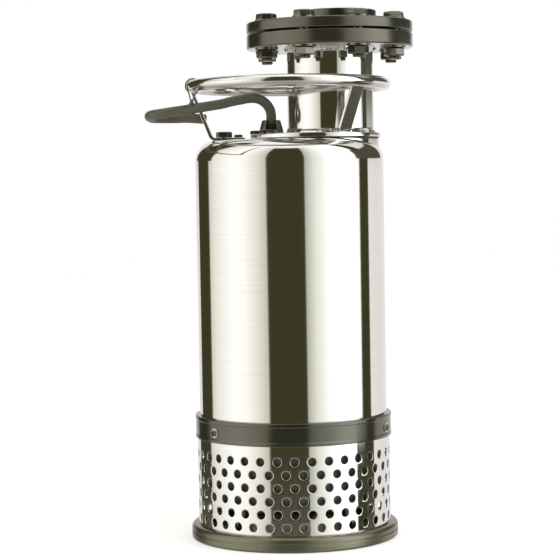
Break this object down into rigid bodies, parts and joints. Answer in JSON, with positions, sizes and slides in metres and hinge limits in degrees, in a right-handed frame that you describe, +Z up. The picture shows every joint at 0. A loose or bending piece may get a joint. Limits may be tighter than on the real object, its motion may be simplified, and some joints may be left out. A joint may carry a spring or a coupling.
{
  "type": "submersible drainage pump",
  "caption": "Portable submersible drainage pump with a perforated strainer foot, stainless water jacket, flanged top discharge, lifting ring and cable gland.",
  "frame": {"origin": "centre of the base's underside, on the shaft axis", "axes": "+Z up along the shaft, +X from the shaft axis towards the discharge pipe"},
  "size_m": [0.3565, 0.276, 0.697],
  "materials": {
    "polished_steel": "polished stainless sheet with fine brushing round the axis",
    "flange_paint": "dark olive-grey paint on a turned casting",
    "band_paint": "dark grey satin paint",
    "base_paint": "dark grey-olive paint, worn at the lip",
    "fastener_steel": "zinc-plated steel",
    "grey_iron": "dark primed casting",
    "bronze": "turned bronze",
    "black_rubber": "matte black rubber",
    "cable_rubber": "black rubber sheath with an olive cast",
    "tie_cord": "twisted dark cord",
    "gland_metal": "dark painted metal",
    "laminations": "stacked electrical sheet",
    "copper": "varnished copper wire",
    "bearing_steel": "ground bearing steel",
    "seal_ceramic": "lapped ceramic"
  },
  "bodies": {
    "pump_body": {"base_plate": "base_paint", "base_pillars": "fastener_steel", "base_screws": "fastener_steel", "strainer": "polished_steel", "joint_band": "band_paint", "band_screws": "fastener_steel", "pump_casing": "grey_iron", "suction_cover": "grey_iron", "wear_ring": "bronze", "suction_screws": "fastener_steel", "outer_shell": "polished_steel", "shell_oring": "black_rubber", "neck_ring": "polished_steel", "cover_gasket": "black_rubber", "discharge_cover": "polished_steel", "cover_bolts": "fastener_steel", "discharge_pipe": "polished_steel", "discharge_flange": "flange_paint", "flange_gasket": "black_rubber", "counter_flange": "flange_paint", "flange_bolts": "fastener_steel", "flange_nuts": "fastener_steel", "lifting_ring": "polished_steel", "left_leg": "polished_steel", "front_leg": "polished_steel", "rear_leg": "polished_steel", "leg_bolts": "fastener_steel", "gland_body": "gland_metal", "gland_seal": "black_rubber", "gland_nut": "gland_metal", "cable_core": "cable_rubber", "power_cable": "cable_rubber", "cable_tie": "tie_cord", "cable_duct": "fastener_steel", "motor_housing": "grey_iron", "stator_core": "laminations", "end_windings": "copper", "lower_bracket": "grey_iron", "upper_bracket": "grey_iron", "bearing_retainer": "fastener_steel", "lower_outer_ring": "bearing_steel", "upper_outer_ring": "bearing_steel", "motor_cap": "grey_iron", "motor_screws": "fastener_steel", "oil_chamber": "grey_iron", "casing_screws": "fastener_steel", "seal_plate": "grey_iron", "seal_seats": "seal_ceramic"},
    "rotor": {"shaft": "bearing_steel", "rotor_core": "laminations", "lower_inner_ring": "bearing_steel", "upper_inner_ring": "bearing_steel", "seal_faces": "seal_ceramic", "seal_spring": "bearing_steel", "impeller": "grey_iron", "impeller_key": "fastener_steel", "impeller_nut": "fastener_steel"},
    "lower_cage": {"lower_balls": "bearing_steel"},
    "upper_cage": {"upper_balls": "bearing_steel"}
  },
  "joints": [
    {"name": "rotor_spin", "type": "hinge", "parent": "pump_body", "child": "rotor", "pos_m": [0, 0, 0.3], "axis": [0, 0, 1], "continuous": true},
    {"name": "lower_cage_spin", "type": "hinge", "parent": "pump_body", "child": "lower_cage", "pos_m": [0, 0, 0.19], "axis": [0, 0, 1], "continuous": true},
    {"name": "upper_cage_spin", "type": "hinge", "parent": "pump_body", "child": "upper_cage", "pos_m": [0, 0, 0.455], "axis": [0, 0, 1], "continuous": true}
  ],
  "couplings": [
    {"joint": "lower_cage_spin", "follows": "rotor_spin", "ratio": 0.3846},
    {"joint": "upper_cage_spin", "follows": "rotor_spin", "ratio": 0.3804}
  ]
}
